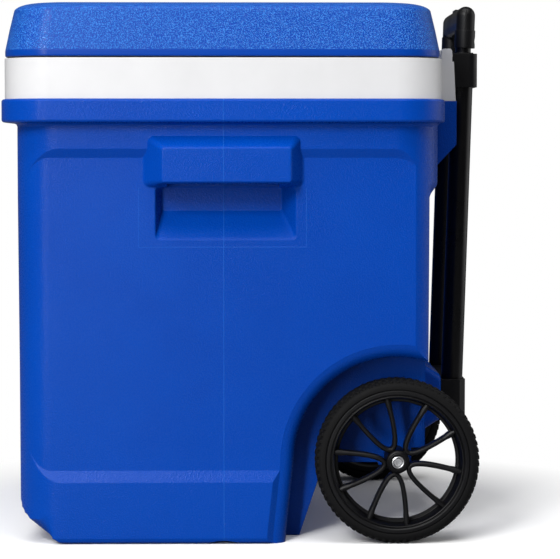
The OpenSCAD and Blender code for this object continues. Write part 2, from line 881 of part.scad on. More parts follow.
module drain_spout() {
    out = body_w/2;
    color(white) difference() {
        union() {
            drain_at(-spout_end, 6 - cavity_w/2, spout_r);
            drain_at(-out - 3, -out, 14);
        }
        drain_at(-spout_end - 1, 10 - cavity_w/2, spout_bore);
    }
}

module drain_nut() {
    color(white) difference() {
        translate([gap - cavity_w/2, drain_y, drain_z]) rotate([0, 90, 0])
            cylinder(h = 5, r = 12.6, $fn = 6);
        drain_at(-cavity_w/2 - 1, 8 - cavity_w/2, spout_r + 0.02);
    }
}

module drain_washer() {
    out = body_w/2 + 3;
    color(black) difference() {
        drain_at(-out - 1.6, -out, 13);
        drain_at(-out - 3, -out + 1, spout_r + 0.02);
    }
}

module drain_cap() {
    x0 = -body_w/2 - 15;
    color(black) difference() {
        union() {
            drain_at(x0 + 1.2, -body_w/2 - 5, cap_d/2);
            drain_at(x0, x0 + 2, cap_d/2 - 1.2);
        }
        drain_at(x0 + 3.2, -200, spout_r + fit);
        for (a = [0:20:340]) translate([x0, drain_y, drain_z]) rotate([a, 0, 0])
            translate([0, cap_d/2 + 0.6, 0]) rotate([0, 90, 0])
                cylinder(h = 40, r = 1.4, center = true, $fn = 16);
    }
}

module drain_cap_seal() {
    x0 = -body_w/2 - 11.8;
    color(black) difference() {
        drain_at(x0, x0 + 0.5, spout_r);
        drain_at(x0 - 1, x0 + 2, 6);
    }
}

outer_shell();
inner_liner();
body_foam();
hinge_pins();
axle();
axle_spacers();
left_axle_nut();
right_axle_nut();
left_wheel();
left_tyre();
right_wheel();
right_tyre();
lid_top();
lid_liner();
lid_foam();
left_lid_hinge();
right_lid_hinge();
lid_hinge_screws();
handle_collar();
collar_screws();
bottom_bracket();
bracket_screws();
left_outer_tube();
right_outer_tube();
left_glide_bush();
right_glide_bush();
left_inner_tube();
right_inner_tube();
left_tube_glide();
right_tube_glide();
grip_front();
grip_back();
grip_screws();
release_button();
latch_yoke();
latch_rods();
latch_bolts();
spring_seats();
button_springs();
drain_spout();
drain_nut();
drain_washer();
drain_cap();
drain_cap_seal();
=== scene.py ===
import json
import math

import bmesh
import bpy
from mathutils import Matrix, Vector

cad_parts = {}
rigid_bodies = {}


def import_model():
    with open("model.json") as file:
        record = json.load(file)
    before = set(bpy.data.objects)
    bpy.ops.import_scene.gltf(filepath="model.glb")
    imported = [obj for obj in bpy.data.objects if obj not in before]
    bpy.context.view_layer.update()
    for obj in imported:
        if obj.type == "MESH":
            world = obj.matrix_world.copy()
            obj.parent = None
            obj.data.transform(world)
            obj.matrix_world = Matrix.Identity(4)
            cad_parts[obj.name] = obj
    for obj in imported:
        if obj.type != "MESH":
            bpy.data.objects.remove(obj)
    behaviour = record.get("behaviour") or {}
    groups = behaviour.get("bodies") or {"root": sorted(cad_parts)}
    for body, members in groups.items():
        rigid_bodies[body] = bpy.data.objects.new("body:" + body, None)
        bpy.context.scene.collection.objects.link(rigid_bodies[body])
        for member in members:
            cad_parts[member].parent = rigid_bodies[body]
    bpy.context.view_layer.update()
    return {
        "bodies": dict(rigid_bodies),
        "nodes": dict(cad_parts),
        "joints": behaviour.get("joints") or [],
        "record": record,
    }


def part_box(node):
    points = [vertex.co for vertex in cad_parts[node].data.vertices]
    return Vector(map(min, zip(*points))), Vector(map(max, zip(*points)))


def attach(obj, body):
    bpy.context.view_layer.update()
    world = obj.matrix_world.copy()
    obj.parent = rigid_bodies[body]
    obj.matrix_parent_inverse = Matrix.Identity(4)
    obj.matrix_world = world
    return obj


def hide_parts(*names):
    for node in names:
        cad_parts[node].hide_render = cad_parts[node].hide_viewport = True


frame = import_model()
print("frame loaded:", len(frame["nodes"]), "parts")

mm = 0.001


class Socket:
    # wraps an output or a number so that shader maths reads as plain sums
    def __init__(self, tree, link):
        self.tree = tree
        self.link = link

    def node(self, kind, settings=None, inputs=None, out=0):
        made = self.tree.nodes.new(kind)
        for key, value in (settings or {}).items():
            setattr(made, key, value)
        for key, value in (inputs or {}).items():
            if isinstance(value, Socket):
                self.tree.links.new(value.link, made.inputs[key])
            else:
                made.inputs[key].default_value = value
        return Socket(self.tree, made.outputs[out])

    def maths(self, operation, first, second):
        return self.node("ShaderNodeMath", {"operation": operation}, {0: first, 1: second})

    def __add__(self, other):
        return self.maths("ADD", self, other)

    __radd__ = __add__

    def __mul__(self, other):
        return self.maths("MULTIPLY", self, other)

    __rmul__ = __mul__

    def __sub__(self, other):
        return self.maths("SUBTRACT", self, other)

    def __rsub__(self, other):
        return self.maths("SUBTRACT", other, self)

    def clamp(self):
        return self.node("ShaderNodeClamp", {}, {"Value": self})

    def absolute(self):
        return self.node("ShaderNodeMath", {"operation": "ABSOLUTE"}, {0: self})


def startMaterial(name, constants):
    # returns the material, its shader node, and a Socket for the object coordinates
    material = bpy.data.materials.new(name)
    material.use_nodes = True
    tree = material.node_tree
    shader = tree.nodes["Principled BSDF"]
    for key, value in constants.items():
        shader.inputs[key].default_value = value
    place = Socket(tree, None).node("ShaderNodeTexCoord", out="Object")
    return material, shader, place


def feed(shader, key, socket):
    socket.tree.links.new(socket.link, shader.inputs[key])


def noise(place, scale, detail=2.0, rough=0.5):
    inputs = {"Vector": place, "Scale": scale, "Detail": detail, "Roughness": rough}
    return place.node("ShaderNodeTexNoise", {}, inputs)


def mixColours(place, factor, first, second):
    settings = {"data_type": "RGBA"}
    return place.node("ShaderNodeMix", settings, {0: factor, 6: first, 7: second}, out=2)


def remap(value, low, high, toLow=0.0, toHigh=1.0):
    inputs = {"Value": value, "From Min": low, "From Max": high, "To Min": toLow, "To Max": toHigh}
    return value.node("ShaderNodeMapRange", {}, inputs)


def roundEdges(place, radius):
    # a soft edge on every corner of a moulding
    return place.node("ShaderNodeBevel", {"samples": 6}, {"Radius": radius})


def bump(place, height, strength, distance, normal=None):
    inputs = {"Height": height, "Strength": strength, "Distance": distance}
    if normal is not None:
        inputs["Normal"] = normal
    return place.node("ShaderNodeBump", {}, inputs)


def srgb(red, green, blue):
    def linear(value):
        value = value / 255
        return value / 12.92 if value <= 0.04045 else ((value + 0.055) / 1.055) ** 2.4
    return (linear(red), linear(green), linear(blue), 1.0)


# deep and lit are random tones of the blue; the third colour is a lighter blue painted on as speckled glints, a
# painted highlight
bodyBlue = {"deep": srgb(0, 58, 152), "lit": srgb(0, 62, 158), "painted_glint": srgb(2, 76, 176), "rough": 0.2,
            "grain": 620, "edge": 1.3 * mm, "level": 0.1}
# the seam lines' colour is a lighter blue, a painted highlight along the mould's seams
seams = {"parting": -0.0215, "patch": (-0.107, 0.062, 0.301, 0.361), "half": 0.00055,
         "outside": (0.2205, 0.2215), "colour": srgb(60, 128, 214)}


def nearLine(value, place, half):
    # 1 on the line, falling to 0 at half a width away
    return remap((value - place).absolute(), half * 0.35, half, 1.0, 0.0)


def within(value, low, high):
    return value.maths("GREATER_THAN", value, low) * value.maths("LESS_THAN", value, high)


def makeBlue(name, marked):
    d = bodyBlue
    material, shader, place = startMaterial(name, {"IOR": 1.5, "Specular IOR Level": d["level"]})
    cloud = noise(place, 6, 3.0, 0.6)
    patch = noise(place, 22, 4.0, 0.65)
    fine = noise(place, d["grain"], 1.5, 0.6)
    # lighter blue speckles on the grain's peaks in random patches: a painted highlight, the glint of light on
    # the stipple
    painted_glint = remap(fine, 0.56, 0.74) * remap(patch, 0.35, 0.6, 0.15, 0.6)
    tint = mixColours(place, remap(cloud, 0.35, 0.65), d["deep"], d["lit"])
    tint = mixColours(place, painted_glint, tint, d["painted_glint"])
    height = fine
    if marked:
        # faint lines of the mould on both sides: its parting and a plate below the side handle, raised by a
        # real bump and painted lighter as a painted highlight along their ridges
        across, along, up = (place.node("ShaderNodeSeparateXYZ", {}, {0: place}, out=k) for k in range(3))
        side = remap(across.absolute(), *seams["outside"])
        y0, y1, z0, z1 = seams["patch"]
        half = seams["half"]
        lines = nearLine(along, seams["parting"], half) * side
        frame = (nearLine(along, y0, half) + nearLine(along, y1, half)) * within(up, z0, z1)
        frame = (frame + nearLine(up, z0, half) * within(along, y0, y1)) * side
        lines = (lines + frame * 0.7).clamp()
        tint = mixColours(place, lines * 0.22, tint, seams["colour"])
        height = fine + lines * 0.4
    feed(shader, "Base Color", tint)
    feed(shader, "Roughness", remap(fine, 0.42, 0.62, d["rough"] + 0.16, d["rough"] - 0.02))
    feed(shader, "Normal", bump(place, height, 1.0, 0.4 * mm, roundEdges(place, d["edge"])))
    return material


# deep and lit are random tones of the blue; the third colour is a lighter blue painted on the stipple's peaks,
# a painted highlight
lidGrain = {"deep": srgb(0, 55, 144), "lit": srgb(0, 58, 149), "painted_glint": srgb(60, 128, 208), "rough": 0.2,
            "grain": 800, "edge": 1.2 * mm, "level": 0.14, "plain": 0.4992}


def makeLidBlue(name):
    # a coarser stipple than the body's, its peaks a real bump that is also painted lighter as a painted
    # highlight, with a plain band at the lid's lower edge
    d = lidGrain
    material, shader, place = startMaterial(name, {"IOR": 1.5, "Specular IOR Level": d["level"]})
    cloud = noise(place, 6, 3.0, 0.6)
    grain = noise(place, d["grain"], 2.0, 0.65)
    up = place.node("ShaderNodeSeparateXYZ", {}, {0: place}, out=2)
    # the grain's peaks above the plain band: they raise a real bump and carry the painted highlight colour
    stipple_and_painted_glint = remap(grain, 0.46, 0.62) * remap(up, d["plain"], d["plain"] + 0.3 * mm)
    tint = mixColours(place, remap(cloud, 0.35, 0.65), d["deep"], d["lit"])
    feed(shader, "Base Color", mixColours(place, stipple_and_painted_glint * 0.7, tint, d["painted_glint"]))
    feed(shader, "Roughness", remap(stipple_and_painted_glint, 0.0, 1.0, d["rough"] + 0.1, d["rough"]))
    feed(shader, "Normal", bump(place, stipple_and_painted_glint, 1.0, 0.22 * mm, roundEdges(place, d["edge"])))
    return material


def makeWhite(name):
    material, shader, place = startMaterial(name, {"IOR": 1.5, "Specular IOR Level": 0.4})
    cloud = noise(place, 14, 3.0, 0.6)
    fine = noise(place, 1100, 1.0, 0.5)
    tint = mixColours(place, remap(cloud, 0.35, 0.7), srgb(199, 199, 200), srgb(193, 193, 194))
    feed(shader, "Base Color", tint)
    feed(shader, "Roughness", remap(cloud, 0.3, 0.7, 0.42, 0.5))
    feed(shader, "Normal", bump(place, fine, 0.25, 0.15 * mm, roundEdges(place, 1.0 * mm)))
    return material


def makeBlack(name, rough, grain, strength):
    material, shader, place = startMaterial(name, {"IOR": 1.48, "Specular IOR Level": 0.22})
    cloud = noise(place, 30, 3.0, 0.6)
    fine = noise(place, grain, 1.0, 0.5)
    feed(shader, "Base Color", mixColours(place, remap(cloud, 0.3, 0.7), srgb(3, 3, 5), srgb(7, 7, 9)))
    feed(shader, "Roughness", remap(cloud, 0.3, 0.7, rough - 0.05, rough + 0.06))
    feed(shader, "Normal", bump(place, fine, strength, 0.2 * mm, roundEdges(place, 0.7 * mm)))
    return material


def makeRubber(name):
    material, shader, place = startMaterial(name, {"IOR": 1.45, "Specular IOR Level": 0.18})
    dust = noise(place, 45, 5.0, 0.7)
    fine = noise(place, 700, 2.0, 0.6)
    feed(shader, "Base Color", mixColours(place, remap(dust, 0.4, 0.75), srgb(6, 6, 7), srgb(13, 13, 14)))
    feed(shader, "Roughness", remap(dust, 0.3, 0.75, 0.68, 0.86))
    feed(shader, "Normal", bump(place, fine, 0.35, 0.2 * mm, roundEdges(place, 0.6 * mm)))
    return material


def makeSteel(name):
    material, shader, place = startMaterial(name, {"Metallic": 1.0})
    cloud = noise(place, 120, 3.0, 0.6)
    fine = noise(place, 1600, 1.0, 0.5)
    tint = mixColours(place, remap(cloud, 0.3, 0.7), srgb(186, 188, 190), srgb(206, 207, 208))
    feed(shader, "Base Color", tint)
    feed(shader, "Roughness", remap(cloud, 0.3, 0.7, 0.24, 0.38))
    feed(shader, "Normal", bump(place, fine, 0.15, 0.05 * mm))
    return material


def makeFoam(name):
    material, shader, place = startMaterial(name, {"IOR": 1.4})
    cells = place.node("ShaderNodeTexVoronoi", {"feature": "F1"}, {"Vector": place, "Scale": 700})
    tint = mixColours(place, remap(cells, 0.1, 0.7), srgb(226, 208, 158), srgb(243, 232, 200))
    feed(shader, "Base Color", tint)
    feed(shader, "Roughness", remap(cells, 0.0, 1.0, 0.8, 0.95))
    feed(shader, "Normal", bump(place, cells, 0.5, 0.4 * mm))
    return material


finishes = {
    "shell": makeBlue("body blue", True),
    "blue": makeBlue("plain blue", False),
    "lidBlue": makeLidBlue("lid blue stipple"),
    "white": makeWhite("liner white"),
    "black": makeBlack("satin black plastic", 0.42, 1200, 0.25),
    "tube": makeBlack("black coated tube", 0.3, 1500, 0.12),
    "rubber": makeRubber("tyre rubber"),
    "seal": makeRubber("seal rubber"),
    "steel": makeSteel("zinc plated steel"),
    "foam": makeFoam("insulating foam"),
}
print("materials made:", len(finishes))


def activate(*pieces):
    if bpy.context.mode != "OBJECT":
        bpy.ops.object.mode_set(mode="OBJECT")
    bpy.ops.object.select_all(action="DESELECT")
    for piece in pieces:
        piece.select_set(True)
    if pieces:
        bpy.context.view_layer.objects.active = pieces[0]


def loft(name, rings):
    # a closed solid: the first ring is filled, then extruded to each next one
    activate()
    bpy.ops.mesh.primitive_circle_add(vertices=len(rings[0]), radius=1, fill_type="NGON")
    piece = bpy.context.object
    piece.name = piece.data.name = name
    bpy.ops.object.mode_set(mode="EDIT")
    bpy.ops.mesh.select_all(action="SELECT")
    for count, ring in enumerate(rings):
        if count:
            bpy.ops.mesh.extrude_region_move()
        edit = bmesh.from_edit_mesh(piece.data)
        face = next(f for f in edit.faces if f.select)
        for corner, place in zip(face.verts, ring):
            corner.co = Vector(place) * mm
        bmesh.update_edit_mesh(piece.data)
    bpy.ops.mesh.select_all(action="SELECT")
    bpy.ops.mesh.normals_make_consistent(inside=False)
    bpy.ops.object.mode_set(mode="OBJECT")
    return piece


def block(name, x, y, z):
    # a box from low and high places in each direction
    activate()
    middle = [(low + high) / 2 * mm for low, high in (x, y, z)]
    size = [(high - low) * mm for low, high in (x, y, z)]
    bpy.ops.mesh.primitive_cube_add(size=1, location=middle, scale=size)
    piece = bpy.context.object
    piece.name = piece.data.name = name
    bpy.ops.object.transform_apply(location=True, rotation=True, scale=True)
    return piece


def rod(name, centre, axis, length, radius, sides=48):
    # a round bar, centre in the middle of its length
    activate()
    turn = {"X": (0, math.pi / 2, 0), "Y": (math.pi / 2, 0, 0), "Z": (0, 0, 0)}[axis]
    bpy.ops.mesh.primitive_cylinder_add(vertices=sides, radius=radius * mm, depth=length * mm,
                                        location=[c * mm for c in centre], rotation=turn)
    piece = bpy.context.object
    piece.name = piece.data.name = name
    bpy.ops.object.transform_apply(location=True, rotation=True, scale=True)
    return piece


def combine(piece, other, how):
    # how is UNION, DIFFERENCE or INTERSECT; the other piece is used up
    step = piece.modifiers.new("combine", "BOOLEAN")
    step.object = other
    step.operation = how
    step.solver = "EXACT"
    activate(piece)
    bpy.ops.object.modifier_apply(modifier=step.name)
    bpy.data.objects.remove(other)
    return piece


def mirrored(piece):
    # a copy on the other side of the middle, with its own mesh
    activate(piece)
    bpy.ops.object.duplicate()
    twin = bpy.context.object
    bpy.ops.transform.resize(value=(-1, 1, 1), center_override=(0, 0, 0))
    bpy.ops.object.transform_apply(location=True, rotation=True, scale=True)
    bpy.ops.object.mode_set(mode="EDIT")
    bpy.ops.mesh.select_all(action="SELECT")
    bpy.ops.mesh.normals_make_consistent(inside=False)
    bpy.ops.object.mode_set(mode="OBJECT")
    return twin


def bothSides(piece):
    # the right half is kept and mirrored to the left
    step = piece.modifiers.new("both", "MIRROR")
    step.use_bisect_axis[0] = True
    step.merge_threshold = 0.01 * mm
    activate(piece)
    bpy.ops.object.modifier_apply(modifier=step.name)
    bpy.ops.object.mode_set(mode="EDIT")
    bpy.ops.mesh.select_all(action="SELECT")
    bpy.ops.mesh.remove_doubles(threshold=0.001 * mm)
    bpy.ops.mesh.normals_make_consistent(inside=False)
    bpy.ops.object.mode_set(mode="OBJECT")
    return piece


def bevelWhere(piece, test, width, segments):
    # rounds the edges whose two ends both pass the test
    activate(piece)
    bpy.ops.object.mode_set(mode="EDIT")
    bpy.ops.mesh.select_mode(type="EDGE")
    bpy.ops.mesh.select_all(action="DESELECT")
    edit = bmesh.from_edit_mesh(piece.data)
    for edge in edit.edges:
        a, b = (v.co / mm for v in edge.verts)
        if test(a, b):
            edge.select = True
    edit.select_flush_mode()
    bmesh.update_edit_mesh(piece.data)
    bpy.ops.mesh.bevel(offset=width * mm, segments=segments, affect="EDGES", clamp_overlap=True)
    bpy.ops.object.mode_set(mode="OBJECT")


def soften(piece, width, segments=2, angle=30):
    step = piece.modifiers.new("soften", "BEVEL")
    step.width = width * mm
    step.segments = segments
    step.limit_method = "ANGLE"
    step.angle_limit = math.radians(angle)
    activate(piece)
    bpy.ops.object.modifier_apply(modifier=step.name)


def complete(piece, name, body, nodes, finish, angle=32):
    piece.name = piece.data.name = name
    piece.data.materials.clear()
    piece.data.materials.append(finishes[finish])
    activate(piece)
    bpy.ops.object.shade_smooth_by_angle(angle=math.radians(angle))
    step = piece.modifiers.new("even", "WEIGHTED_NORMAL")
    step.keep_sharp = True
    step.weight = 90
    bpy.ops.object.modifier_apply(modifier=step.name)
    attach(piece, body)
    if nodes:
        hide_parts(*nodes)
    print(name, "done:", len(piece.data.polygons), "faces")


def arc(cx, cy, r, start, end, steps):
    # points on an arc, angles in degrees
    angles = [math.radians(start + (end - start) * i / steps) for i in range(steps + 1)]
    return [(cx + r * math.cos(a), cy + r * math.sin(a)) for a in angles]


def roundRect(x0, x1, y0, y1, r, steps=12):
    # anticlockwise from the low right corner
    return (arc(x1 - r, y0 + r, r, -90, 0, steps) + arc(x1 - r, y1 - r, r, 0, 90, steps)
            + arc(x0 + r, y1 - r, r, 90, 180, steps) + arc(x0 + r, y0 + r, r, 180, 270, steps))


def across(points, x0, x1, name="cutter"):
    # an outline in Y and Z carried from x0 to x1
    return loft(name, [[(x, y, z) for y, z in points] for x in (x0, x1)])


# what the CAD nodes that stay get
finishOfSlot = {
    "blue_plastic": "blue", "white_plastic": "white", "black_plastic": "black", "tyre_rubber": "rubber",
    "black_tube": "tube", "steel": "steel", "foam": "foam", "seal_rubber": "seal",
}
for part in frame["record"]["subparts"]:
    node = frame["nodes"][part["node"]]
    node.data.materials.clear()
    node.data.materials.append(finishes[finishOfSlot[part["material_slot"]]])
    activate(node)
    bpy.ops.object.shade_smooth_by_angle(angle=math.radians(28))
print("parts from the frame finished")

# the outer shell: sizes in millimetres, t moves each form inwards for the hollow
shell = {
    "wall": 3.5, "top": 450, "well": (154.4, 83.5, 105), "wellWall": 192, "flare": 16,
    "blockHalf": 150, "bayHalf": 98, "bayBack": 216, "blockBack": 221.5, "bumpHalf": 110,
    "arch": (-22, 3.5, 43), "bore": 4.2, "drain": 9.3,
}

# height, half width, front, back and corner radius of the body, from the floor up to the rim, and
# where its front and back are cut off flat
shellRings = [
    (0, 243, -225, 190, 38, -182, 150), (0.8, 246, -228, 193, 41, -185.4, 152),
    (2.6, 248.6, -230.6, 195.6, 44, -189.4, 154), (6, 250, -232, 197, 45, -195, 186),
    (25, 250, -232, 197, 45, -219.8, 186), (30, 250, -232, 197, 45, -224.8, 186),
    (35, 250, -232, 197, 45, -227.9, 186), (42, 250, -232, 197, 45, -229.8, 186),
    (351, 250, -232, 197, 45, -231.8, 187), (354, 250, -232, 197, 45, -232, 188.4),
    (362, 250, -232, 197, 45, -232, 195.2), (366, 250, -232, 197, 45, -232, 197),
    (422.4, 250, -232, 197, 45, -232, 197), (424.2, 250.6, -232.6, 197.6, 45, -249, 204),
    (425.6, 252.4, -234.4, 199, 46, -249, 204), (426.3, 255, -237, 200.4, 47, -249, 204),
    (426.5, 261.8, -243.8, 201.6, 48, -249, 204), (427.1, 263.9, -245.9, 202.8, 49, -249, 204),
    (428.8, 265, -247, 203.5, 50, -249, 204), (447.8, 265, -247, 203.5, 50, -249, 204),
    (449.4, 264.2, -246.2, 202.8, 49, -249, 204), (450, 262.8, -244.8, 201.4, 48, -249, 204),
]


def offsetOutline(points, t):
    # moves every edge of an anticlockwise outline inwards by t
    moved = []
    for i, point in enumerate(points):
        here = Vector(point)
        before = (here - Vector(points[i - 1])).normalized()
        after = (Vector(points[(i + 1) % len(points)]) - here).normalized()
        a = Vector((-before.y, before.x))
        b = Vector((-after.y, after.x))
        moved.append(tuple(here + t * (a + b) / (1 + a.dot(b))))
    return moved


def planRing(z, half, front, back, r, frontCut=-999, backCut=999):
    return [(x, min(max(y, frontCut), backCut), z) for x, y in roundRect(-half, half, front, back, r)]


def shellCore(t):
    if t == 0:
        return loft("shell", [planRing(*ring) for ring in shellRings])
    inner = [(max(z, t), half - t, front + t, back - t, r - t, frontCut + t, backCut - t)
             for z, half, front, back, r, frontCut, backCut in shellRings if z in (0, 25, 42, 351, 366)]
    inner += [(430, 246.5, -228.5, 193.5, 41.5), (430.1, 261.5, -243.5, 200, 46.5),
              (456, 261.5, -243.5, 200, 46.5)]
    return loft("hollow", [planRing(*ring) for ring in inner])


def underCut(t):
    # the raised underside behind, with the channel that the axle runs in
    outline = [(56, -9), (260, -9), (260, 91), (170, 91), (170, 98), (140, 98), (140, 76), (80, 76),
               (74, 53), (56, 0)]
    return across(offsetOutline(outline, -t), -270, 270)


field = {"x": 245, "turn": (213, -197.2, 32, 52), "top": (391, 1.8), "low": (74.6, 2.3),
         "end": (150, 357, 34), "ledge": 5.5}


def fieldCut(t):
    # the recessed side: its bed turns the front corner on a tighter curve and runs out there, and the
    # walls above and below slope outwards
    d = field
    cx, cy, r, sweep = d["turn"]
    bed = arc(cx, cy, r - t, 0, -sweep, 14)
    out = math.radians(-sweep)
    plan = [(300, 262), (d["x"] - t, 262)] + bed
    plan += [(cx + 90 * math.cos(out), cy + 90 * math.sin(out)), (300, -262)]
    piece = loft("field", [[(x, y, z) for x, y in plan] for z in (-5, 500)])
    (topZ, topSlope), (lowZ, lowSlope), (endY, endZ, endR) = d["top"], d["low"], d["end"]
    rings = []
    for x in (225, d["x"], 250, 305):
        out = min(x - d["x"], d["ledge"])
        top = topZ + out * topSlope + 2 * t
        low = lowZ - out * lowSlope - 2.4 * t
        end = arc(endY, endZ, max(endR + top - topZ, 4), 90, 30, 8)
        ring = [(-280, low), (-280, top)] + end + [(270, end[-1][1] - 30), (270, low)]
        rings.append([(x, y, z) for y, z in ring])
    return combine(piece, loft("walls", rings), "INTERSECT")


def wellCut(t):
    # the wheel's arch, flaring out to a soft edge at the side
    y, z, r = shell["well"]
    flare = shell["flare"]

    def ring(x, e):
        points = [(y + r + e, -8)] + arc(y, z, r + e, 0, 180, 40) + [(41.8 - e, 12), (40.6 - e, -8)]
        return [(x, a, b) for a, b in points]
    rings = [ring(shell["wellWall"] - t, t)]
    for step in range(9):
        turn = math.radians(80 * step / 8)
        x = field["x"] - t - flare + flare * math.sin(turn)
        rings.append(ring(x, t + flare * (1 - math.cos(turn))))
    rings += [ring(x, flare + 3.5 + t) for x in (250.1 - t, 280)]
    return loft("well", rings)


def faceRing(x, y0, y1, z0, z1, r, inset=0.0):
    # a rounded rectangle in Y and Z, drawn in from its edges by the inset
    outline = roundRect(y0 + inset, y1 - inset, z0 + inset, z1 - inset, max(r - inset, 1.5), 8)
    return [(x, y, z) for y, z in outline]


grab = {"root": (-102, 58, 362, 416), "face": (-84, 47, 366, 402), "x": (238, 245, 268), "r": 7}


def grabBox(t):
    # the side handle's body, sloping in from its root to its face
    d = grab
    deep, root, face = d["x"]

    def between(f):
        return [a + (b - a) * f for a, b in zip(d["root"], d["face"])]
    rings = [faceRing(deep, *d["root"], d["r"], t)]
    if t:
        rings += [faceRing(root, *d["root"], d["r"], t), faceRing(face - t, *d["face"], d["r"], t)]
        return loft("grab", rings)
    for x, f, inset in ((root, 0, -1.2), (root + 1, 0.03, -0.2), (root + 2, 0.08, 0), (face - 3, 0.93, 0),
                        (face - 1.4, 0.98, 0.4), (face - 0.4, 1, 1.2), (face, 1, 2.4)):
        rings.append(faceRing(x, *between(f), d["r"] - 3.5 * f, inset))
    return loft("grab", rings)


def scoopCut(t):
    # the hand hold under the side handle, with a slope below
    bed, edge = (-85, 38, 336, 361.5), (-90, 51, 309, 361.6)
    if t:
        rings = ((222 - t, bed), (245, edge), (280, edge))
        return loft("scoop", [faceRing(x, *place, 8, -t) for x, place in rings])
    rings = [faceRing(222, *bed, 4, 1.4), faceRing(222.8, *bed, 4, 0)]
    for x, f, inset in ((243, 0.92, 0), (244.3, 0.97, -0.3), (245, 1, -1), (246, 1, -1.2), (280, 1, -1.2)):
        place = [a + (b - a) * f for a, b in zip(bed, edge)]
        ring = faceRing(x, *place, 4, inset)
        rings.append([(a, b, min(c, 361.8)) for a, b, c in ring])
    return loft("scoop", rings)


def pocketCut(t):
    # room for the fingers, up behind the side handle's face
    x0, x1, y0, y1, z1 = 226 - t, 262 + t, -78 - t, 34 + t, 392 + t
    pocket = block("pocket", (x0, x1), (y0, y1), (350, z1))
    if not t:
        bevelWhere(pocket, lambda a, b: min(a.z, b.z) > z1 - 1, 5, 3)
    return pocket


def rearBlock(t):
    # the block behind that the pull handle stands against; its top is a hair below the shell's
    back = shell["blockBack"]
    top = shell["top"] + 2 * t - 0.06
    outline = [(175, 355), (202, 383.6), (back, 404.4), (back, top), (175, top)]
    half = shell["blockHalf"] - t
    piece = across(offsetOutline(outline, t), -half, half, "block")
    if not t:
        def upright(a, b):
            return abs(abs(a.x) - half) < 1 and abs(a.x - b.x) < 1 and min(a.y, b.y) > 200
        bevelWhere(piece, upright, 5, 4)
    bay = shell["bayHalf"] + t
    return combine(piece, block("bay", (-bay, bay), (shell["bayBack"] - t, 240), (350, 470)), "DIFFERENCE")


def footBump(t):
    # the low block behind that carries the pull handle's bracket
    half = shell["bumpHalf"] - t
    rings = []
    for y, dx, z0, z1, r in ((176, 0, 90, 178, 8), (188, 0, 97, 172, 8), (205, 2, 107.5, 161, 9),
                             (208.6, 3.4, 109.6, 158.6, 8), (210, 6, 112, 156, 7)):
        if t and y > 205:
            continue
        ring = roundRect(-half + dx, half - dx, z0 + t, z1 - t, r, 6)
        rings.append([(x, y, z) for x, z in ring])
    return loft("bump", rings)


def shellForm(t):
    # cut and built up on the right, then mirrored
    piece = shellCore(t)
    combine(piece, underCut(t), "DIFFERENCE")
    combine(piece, fieldCut(t), "DIFFERENCE")
    combine(piece, rearBlock(t), "UNION")
    combine(piece, footBump(t), "UNION")
    combine(piece, grabBox(t), "UNION")
    for make in (scoopCut, pocketCut, wellCut):
        combine(piece, make(t), "DIFFERENCE")
    y, height, r = shell["arch"]
    combine(piece, rod("arch", (0, y, height - r), "X", 560, r + t, 180), "DIFFERENCE")
    return bothSides(piece)


def makeShell():
    piece = shellForm(0)
    combine(piece, shellForm(shell["wall"]), "DIFFERENCE")
    y, z = shell["well"][:2]
    boss = block("boss", (168, shell["wellWall"]), (138, 172), (73, 100))
    combine(piece, mirrored(boss), "UNION")
    combine(piece, boss, "UNION")
    combine(piece, rod("bore", (0, y, z), "X", 400, shell["bore"]), "DIFFERENCE")
    y, z = ((low + high) / 2 / mm for low, high in list(zip(*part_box("drain_spout")))[1:])
    combine(piece, rod("drain", (-240, y, z), "X", 40, shell["drain"]), "DIFFERENCE")
    complete(piece, "outer_shell_body", "body", ["outer_shell"], "shell", 20)


makeShell()
print("shell made")

lid = {
    "half": 261, "front": -243, "back": 198, "corner": 47, "wall": 3, "top": 549,
    "bay": (104, 140, 505), "panel": (196, -184, 112, 26, 1.6), "cup": (140, (-130, 58), 41, 3.6),
    "hinge": (131, 10.4, 159.6, 496.8),
}
# height and how far the lid's sides stand in from its edge
lidSteps = ([(492.5, 0.9), (493.1, 0.25), (494, 0), (498, 0), (499.5, 0.15), (502, 0.7), (520, 4.4), (538, 8.6)]
            + [(538 + 9.7 * math.sin(math.radians(a)), 8.6 + 27 * (1 - math.cos(math.radians(a))))
               for a in range(10, 90, 10)]
            + [(548.7, 66), (549, 110)])


def lidForm(t):
    d = lid
    steps = [(485, 0)] + lidSteps[3:] if t else lidSteps
    rings = []
    for z, inset in steps:
        e = inset + t
        rings.append(planRing(z - (t if z > 490 else 0), d["half"] - e, d["front"] + e, d["back"] - e,
                              max(d["corner"] - 0.45 * e, 14)))
    piece = loft("lid", rings)
    half, front, low = d["bay"]
    bay = [(low, 2.4), (low + 0.7, 0.8), (low + 2.4, 0), (540, 0), (545, -0.6), (549.2, -3), (560, -3)]
    rings = [planRing(z - t, half + t - e, front - t + e, 270, 9) for z, e in bay]
    combine(piece, loft("bay", rings), "DIFFERENCE")
    half, front, back, r, deep = d["panel"]
    floor = d["top"] - deep - t
    panel = [(floor, 0), (floor + 0.3, -0.3), (floor + 1.6, -2), (floor + 9, -2.2)]
    rings = [planRing(z, half + t - e, front - t + e, back + t - e, r + t - e) for z, e in panel]
    combine(piece, loft("panel", rings), "DIFFERENCE")
    side, places, r, deep = d["cup"]
    bed = floor - deep
    cup = [(bed, 3.4), (bed + 0.5, 1.4), (bed + 1.8, 0.2), (floor - 0.5, -0.2), (floor + 0.2, -1.4),
           (floor + 6, -1.6)]
    for x in (-side, side):
        for y in places:
            rings = [[(a, b, z) for a, b in arc(x, y, r + t - e, 0, 360, 64)[:-1]] for z, e in cup]
            combine(piece, loft("cup", rings), "DIFFERENCE")
    return piece


